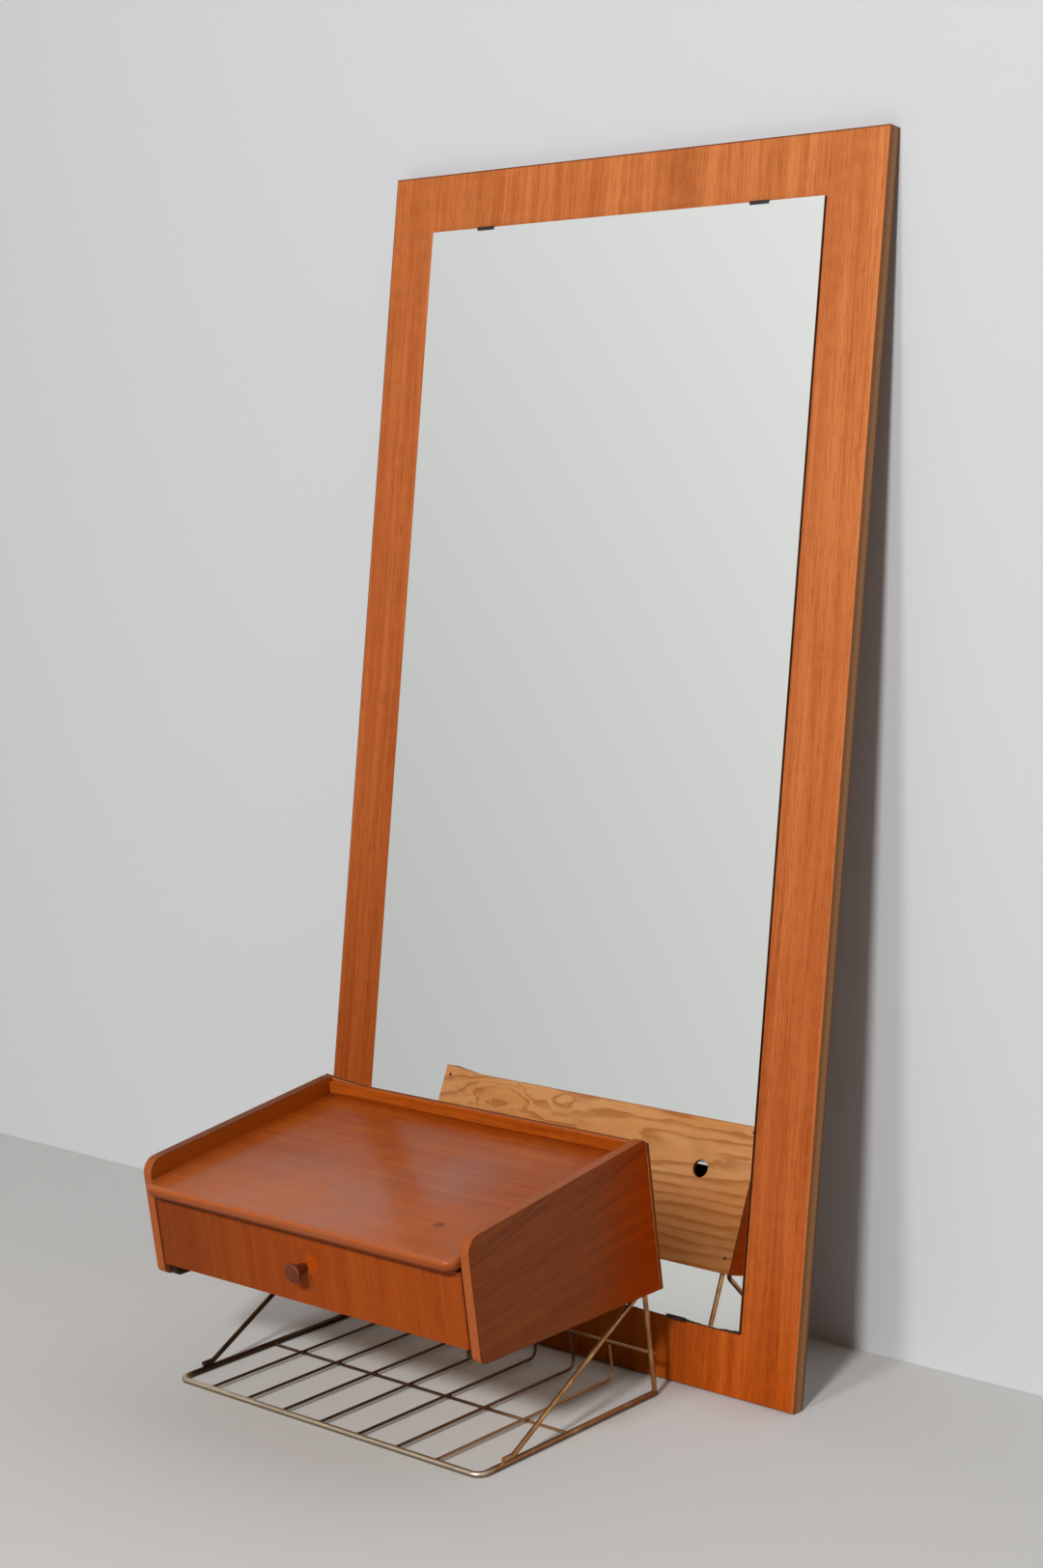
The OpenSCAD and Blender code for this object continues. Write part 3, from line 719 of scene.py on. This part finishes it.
# ---- Hangers with their washers and screws ----
# One bent rod on each side: a brace up from the rail, a loop round a screw with a large washer
# inside the panel, and a leg down to the rim.
HANGER_X = 0.196
HANGER_ROD = 0.005
HANGER_LINE = (
    # y, z and inner line of each bend, from the rail to the foot of the leg
    (-0.2178, 0.0084, 0.0),
    (-0.2048, 0.0084, 0.008),
    (-0.02296, 0.1057, 0.006),
    (-0.02532, 0.12314, 0.0057),
    (-0.01343, 0.12475, 0.0057),
    (0.0027, 0.0059, 0.0),
)

for name, side in (("hanger_left", -1), ("hanger_right", 1)):
    hanger_line = [(side * HANGER_X, y, z) for y, z, _ in HANGER_LINE]
    bent_rod(name, hanger_line, [bend for _, _, bend in HANGER_LINE], HANGER_ROD, hanger_finish)
steel_finish.coat("hanger_washers", "hanger_screws")

# ---- Drawer front ----
# Solid teak with upright grain, its edges eased. It is painted darker and browner towards the
# left as shade, and is orange up and right of the knob, as in the photograph, where light and use
# can't be told apart.
DRAWER_EASING = 0.0008
ORANGE_PLACE = (0.0095, 0.0904)
ORANGE_RADII = (0.011, 0.011)

drawer_finish, drawer_face = teak(
    "teak_drawer_front", on_box, "z", ((126, 54, 14), (154, 69, 18), (165, 79, 23)),
    seed=11.0, figure=0.35, thread=0.28, gloss=0.42, shine=0.06,
)
front_x, _, front_z = on_box(drawer_finish)
# Painted shade: darker and browner towards the left.
shade_to_left = drawer_finish.mix(front_x.between(-0.2, 0.04), rgb(205, 202, 215), rgb(255, 242, 225))
drawer_face = drawer_finish.mix(0.8, drawer_face, shade_to_left, blend="MULTIPLY")
orange_spot = 1.0 - from_middle(front_x, front_z, ORANGE_PLACE, ORANGE_RADII).between(0.1, 1.3)
drawer_finish.set(Base_Color=drawer_finish.mix(orange_spot * 0.75, drawer_face, rgb(184, 76, 10)))
drawer_arris, _ = teak(
    "teak_drawer_arris", on_box, "z", ((112, 46, 14), (150, 66, 20), (168, 82, 30)),
    seed=11.0, figure=0.2, gloss=0.36,
)
eased("drawer_front", "drawer", DRAWER_EASING, drawer_finish, drawer_arris,
      shortest=0.0015)

# ---- Drawer box ----
# Plain pale wood, hidden when the drawer is shut: two sides, a back and a thin bottom, which
# lies in a groove of the sides.
tray_finish, _ = teak(
    "beech_drawer_box", level_on_box, "y", ((176, 136, 92), (206, 172, 128), (222, 190, 148)),
    seed=14.0, figure=0.3, gloss=0.6,
)
tray_finish.coat("drawer_side_left", "drawer_side_right", "drawer_back", "drawer_bottom")

# ---- Knob and its screw ----
# Turned from a dark piece of teak, widest at its face, which shows end grain. A steel screw from
# inside the drawer holds it.
KNOB_EASING = 0.0006

knob_finish, _ = teak(
    "teak_knob", on_box, "y", ((62, 28, 16), (104, 50, 28), (122, 64, 38)),
    seed=17.0, figure=0.4, gloss=0.36,
)
knob_edge, _ = teak(
    "teak_knob_arris", on_box, "y", ((80, 38, 20), (122, 62, 36), (142, 78, 48)),
    seed=17.0, figure=0.2, gloss=0.34,
)
eased("knob", "drawer", KNOB_EASING, knob_finish, knob_edge, shortest=0.0002)
steel_finish.coat("knob_screw")

# ---- Camera ----
# The height, turn and lens of the photograph, worked out from the edges of the board, the glass
# and the shelf, without shift or blur.
CAMERA_PLACE = Vector((1.5977, -1.8923, 0.8941))
PITCH = math.radians(7.426)
ROLL = math.radians(-1.068)
YAW = math.radians(40.536)
LENS = 58.052
FILM_WIDTH = 36.0

level = math.cos(PITCH)
forward = Vector((-math.sin(YAW) * level, math.cos(YAW) * level, -math.sin(PITCH)))
level_right = Vector((math.cos(YAW), math.sin(YAW), 0.0))
level_up = level_right.cross(forward)
right = level_right * math.cos(ROLL) + level_up * math.sin(ROLL)
up = level_up * math.cos(ROLL) - level_right * math.sin(ROLL)
camera_data = bpy.data.cameras.new("camera")
camera_data.lens = LENS
camera_data.sensor_width = FILM_WIDTH
camera = bpy.data.objects.new("camera", camera_data)
turned = Matrix((right, up, -forward)).transposed()
camera.matrix_world = Matrix.Translation(CAMERA_PLACE) @ turned.to_4x4()
bpy.context.scene.collection.objects.link(camera)
bpy.context.scene.camera = camera

# ---- Floor and wall ----
# A plain pale floor that fades out in front, and the plain wall that the mirror leans on. The
# wall is clear from behind, casts no shadow and lets a tenth of the scattered light through,
# because the back of the board would be black otherwise.
REACH = 4.0
WALL_HEIGHT = 5.0
WALL_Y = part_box("mirror_board")[1].y + 0.0006
WALL_FOOT = -0.001
THROUGH_WALL = 0.1
FLOOR_FADE = (2.2, 3.6)


def sheet(name, corners, finish):
    data = bpy.data.meshes.new(name)
    data.from_pydata(corners, [], [tuple(range(len(corners)))])
    data.materials.append(finish.material)
    made = bpy.data.objects.new(name, data)
    bpy.context.scene.collection.objects.link(made)
    return made


def pale(name, color, clear_share):
    finish = Finish(name)
    finish.set(Base_Color=color, Roughness=0.9, Specular_IOR_Level=0.2)
    clear = finish.node("ShaderNodeBsdfTransparent")
    sockets = {0: clear_share(finish), 1: Port(finish, finish.shader.outputs[0]), 2: clear}
    mixed = finish.node("ShaderNodeMixShader", None, sockets)
    finish.feed(finish.tree.nodes["Material Output"].inputs["Surface"], mixed)
    return finish


def far_away(finish):
    place = finish.node("ShaderNodeTexCoord", out="Object")
    reach = finish.node("ShaderNodeVectorMath", {"operation": "LENGTH"}, {0: place}, out="Value")
    return reach.between(*FLOOR_FADE)


def seen_from_behind(finish):
    back = finish.node("ShaderNodeNewGeometry", out="Backfacing")
    passing = finish.node("ShaderNodeLightPath", out="Is Diffuse Ray") * THROUGH_WALL
    return back.math("MAXIMUM", passing)


floor_finish = pale("pale_floor", rgb(214, 213, 211), far_away)
floor_corners = [(-REACH, -REACH, 0), (REACH, -REACH, 0), (REACH, REACH, 0), (-REACH, REACH, 0)]
sheet("floor", floor_corners, floor_finish)
wall_finish = pale("pale_wall", rgb(216, 218, 221), seen_from_behind)
wall_corners = [
    (-REACH, WALL_Y, WALL_FOOT), (REACH, WALL_Y, WALL_FOOT),
    (REACH, WALL_Y, WALL_HEIGHT), (-REACH, WALL_Y, WALL_HEIGHT),
]
wall = sheet("wall", wall_corners, wall_finish)
wall.visible_shadow = False

# ---- Light ----
# Two soft lights in front, the stronger one to the right, and a pale room. The glass reflects it
# brighter towards the top right, as in the photograph. For everything dull it is dimmer and
# warmer, but for a glow behind the wall.
LIT_PLACE = Vector((0.1, -0.1, 0.4))
ROOM_LOW = 0.5
ROOM_HIGH = 0.95
DIM_ROOM = 0.09
GLOW_BEHIND = 0.2


def soft_light(name, place, size, power):
    data = bpy.data.lights.new(name, "AREA")
    data.shape = "DISK"
    data.size = size
    data.energy = power
    made = bpy.data.objects.new(name, data)
    made.location = place
    made.rotation_euler = (LIT_PLACE - Vector(place)).to_track_quat("-Z", "Y").to_euler()
    bpy.context.scene.collection.objects.link(made)


soft_light("key", (1.78, -4.98, 3.32), size=0.7, power=200.0)
soft_light("second", (0.12, -5.2, 3.32), size=0.8, power=90.0)

room = bpy.data.worlds.new("room")
room.use_nodes = True
bpy.context.scene.world = room
room_tree = Bench(room.node_tree)


def ray(fact):
    return room_tree.node("ShaderNodeLightPath", out=fact)


east, north, rise = room_tree.split(room_tree.node("ShaderNodeTexCoord", out="Generated"))
bright = 0.61 + rise * 0.49 + (east + 0.6) * 0.95
bright = bright.math("MINIMUM", ROOM_HIGH).math("MAXIMUM", ROOM_LOW)
seen = (ray("Is Camera Ray") + ray("Is Glossy Ray")) * (1.0 - (ray("Diffuse Depth") > 0.5) * 0.6)
dim = DIM_ROOM + north.between(0.0, 0.2) * GLOW_BEHIND
background = room.node_tree.nodes["Background"]
room_color = room_tree.mix(seen, (1.0, 0.86, 0.74, 1.0), (1.0, 1.0, 0.985, 1.0))
room_tree.feed(background.inputs["Color"], room_color)
room_tree.feed(background.inputs["Strength"], seen * bright + (1.0 - seen) * dim)
bpy.context.scene.view_settings.view_transform = "Standard"
